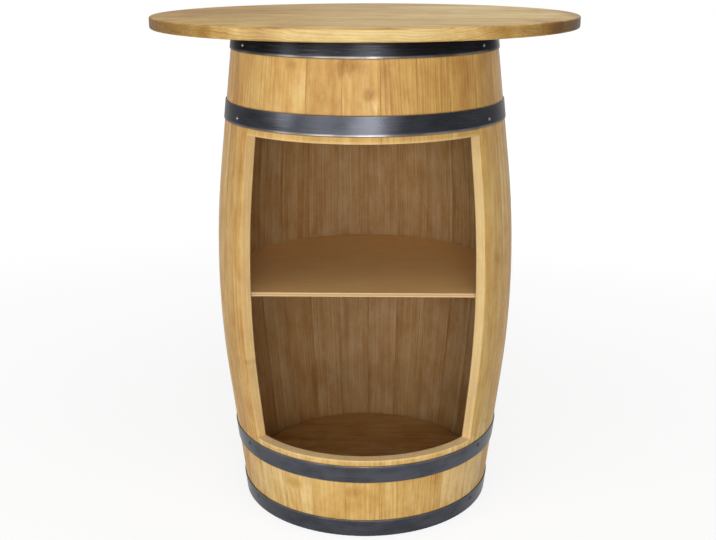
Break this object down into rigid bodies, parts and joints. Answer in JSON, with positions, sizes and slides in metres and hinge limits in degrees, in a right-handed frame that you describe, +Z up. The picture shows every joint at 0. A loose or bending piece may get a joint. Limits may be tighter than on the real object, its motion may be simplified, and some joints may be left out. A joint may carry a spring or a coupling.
{
  "type": "barrel bar cabinet",
  "caption": "Upright coopered wooden barrel with a window cut in its front, a shelf inside for bottles and glasses, steel hoops and a round table top.",
  "frame": {"origin": "centre of the barrel's foot, on the floor", "axes": "+Z up, the window faces -Y, +X to the right seen from the front"},
  "size_m": [0.68, 0.6798, 0.818],
  "materials": {
    "barrel_wood": "stained and oiled softwood, golden brown, satin",
    "table_wood": "stained and oiled softwood, golden brown, satin",
    "inner_wood": "stained softwood, matt",
    "shelf_plywood": "stained birch plywood, satin, pale bare edge",
    "hoop_steel": "blue-black painted steel strip, satin",
    "fastener_steel": "zinc-plated steel"
  },
  "bodies": {
    "root": {"cleat_screws": "fastener_steel", "head_dowels": "inner_wood", "hoop_nails": "fastener_steel", "hoop_rivets": "fastener_steel", "left_shelf_cleat": "inner_wood", "left_table_batten": "inner_wood", "lower_head_board_1": "inner_wood", "lower_head_board_2": "inner_wood", "lower_head_board_3": "inner_wood", "lower_head_hoop": "hoop_steel", "lower_quarter_hoop": "hoop_steel", "lower_short_stave_1": "barrel_wood", "lower_short_stave_2": "barrel_wood", "lower_short_stave_3": "barrel_wood", "lower_short_stave_4": "barrel_wood", "lower_short_stave_5": "barrel_wood", "lower_short_stave_6": "barrel_wood", "lower_short_stave_7": "barrel_wood", "rear_shelf_cleat": "inner_wood", "right_shelf_cleat": "inner_wood", "right_table_batten": "inner_wood", "shelf": "shelf_plywood", "stave_01": "barrel_wood", "stave_02": "barrel_wood", "stave_03": "barrel_wood", "stave_04": "barrel_wood", "stave_05": "barrel_wood", "stave_06": "barrel_wood", "stave_07": "barrel_wood", "stave_08": "barrel_wood", "stave_09": "barrel_wood", "stave_10": "barrel_wood", "stave_11": "barrel_wood", "stave_12": "barrel_wood", "stave_13": "barrel_wood", "stave_14": "barrel_wood", "stave_15": "barrel_wood", "stave_16": "barrel_wood", "stave_17": "barrel_wood", "stave_18": "barrel_wood", "table_board_1": "table_wood", "table_board_2": "table_wood", "table_board_3": "table_wood", "table_board_4": "table_wood", "table_board_5": "table_wood", "table_board_6": "table_wood", "table_screws": "fastener_steel", "upper_head_board_1": "inner_wood", "upper_head_board_2": "inner_wood", "upper_head_board_3": "inner_wood", "upper_head_hoop": "hoop_steel", "upper_quarter_hoop": "hoop_steel", "upper_short_stave_1": "barrel_wood", "upper_short_stave_2": "barrel_wood", "upper_short_stave_3": "barrel_wood", "upper_short_stave_4": "barrel_wood", "upper_short_stave_5": "barrel_wood", "upper_short_stave_6": "barrel_wood", "upper_short_stave_7": "barrel_wood"}
  },
  "joints": []
}
